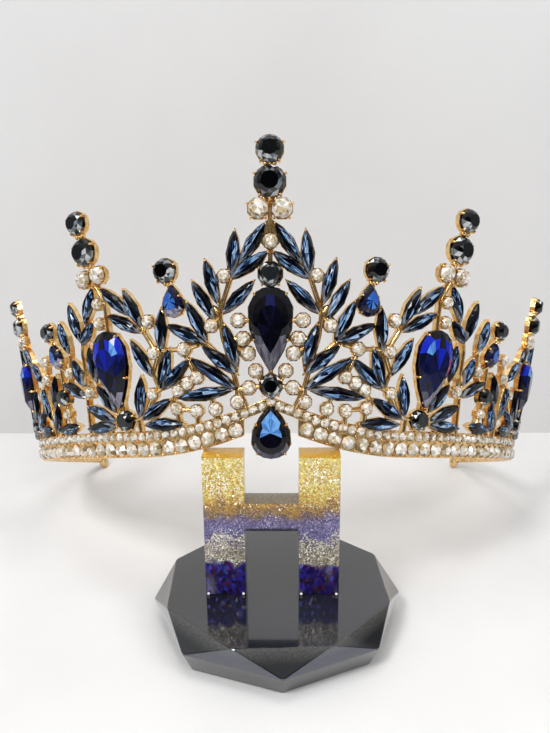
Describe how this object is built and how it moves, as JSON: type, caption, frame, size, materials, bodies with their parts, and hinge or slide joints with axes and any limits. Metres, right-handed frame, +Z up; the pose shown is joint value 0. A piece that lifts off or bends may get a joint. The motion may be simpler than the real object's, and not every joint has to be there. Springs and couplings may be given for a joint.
{
  "type": "rhinestone tiara on a display stand",
  "caption": "Openwork tiara set with black, blue and clear rhinestones in a gold-coloured frame, resting on an H-shaped resin display stand.",
  "frame": {"origin": "on the ground under the stand, in the middle between its two posts", "axes": "+Z up, the tiara's front faces -Y, +X towards the right-hand side seen from the front"},
  "size_m": [0.1868, 0.1467, 0.1365],
  "materials": {
    "gold_alloy": "polished warm gold plating",
    "black_resin": "glossy cast resin",
    "glitter_resin": "clear resin over glitter and crushed stone",
    "steel_blue_crystal": "cut and foil-backed",
    "clear_crystal": "cut and foil-backed",
    "black_crystal": "cut, near black",
    "deep_blue_crystal": "cut and foil-backed"
  },
  "bodies": {
    "root": {"frame": "gold_alloy", "base": "black_resin", "posts": "glitter_resin", "leaves_middle": "steel_blue_crystal", "leaves_left": "steel_blue_crystal", "leaves_right": "steel_blue_crystal", "clears_middle": "clear_crystal", "clears_left": "clear_crystal", "clears_right": "clear_crystal", "round_spire_top": "black_crystal", "round_spire_low": "black_crystal", "round_above_teardrop": "black_crystal", "round_below_teardrop": "black_crystal", "teardrop_middle": "deep_blue_crystal", "drop_middle": "deep_blue_crystal", "round_inner_left": "black_crystal", "round_side_top_left": "black_crystal", "round_side_low_left": "black_crystal", "round_side_base_left": "black_crystal", "round_outer_left": "black_crystal", "round_outer_base_left": "black_crystal", "round_end_top_left": "black_crystal", "round_end_low_left": "black_crystal", "round_end_base_left": "black_crystal", "pear_inner_left": "deep_blue_crystal", "teardrop_side_left": "deep_blue_crystal", "pear_outer_left": "deep_blue_crystal", "teardrop_end_left": "deep_blue_crystal", "round_inner_right": "black_crystal", "round_side_top_right": "black_crystal", "round_side_low_right": "black_crystal", "round_side_base_right": "black_crystal", "round_outer_right": "black_crystal", "round_outer_base_right": "black_crystal", "round_end_top_right": "black_crystal", "round_end_low_right": "black_crystal", "round_end_base_right": "black_crystal", "pear_inner_right": "deep_blue_crystal", "teardrop_side_right": "deep_blue_crystal", "pear_outer_right": "deep_blue_crystal", "teardrop_end_right": "deep_blue_crystal"}
  },
  "joints": []
}
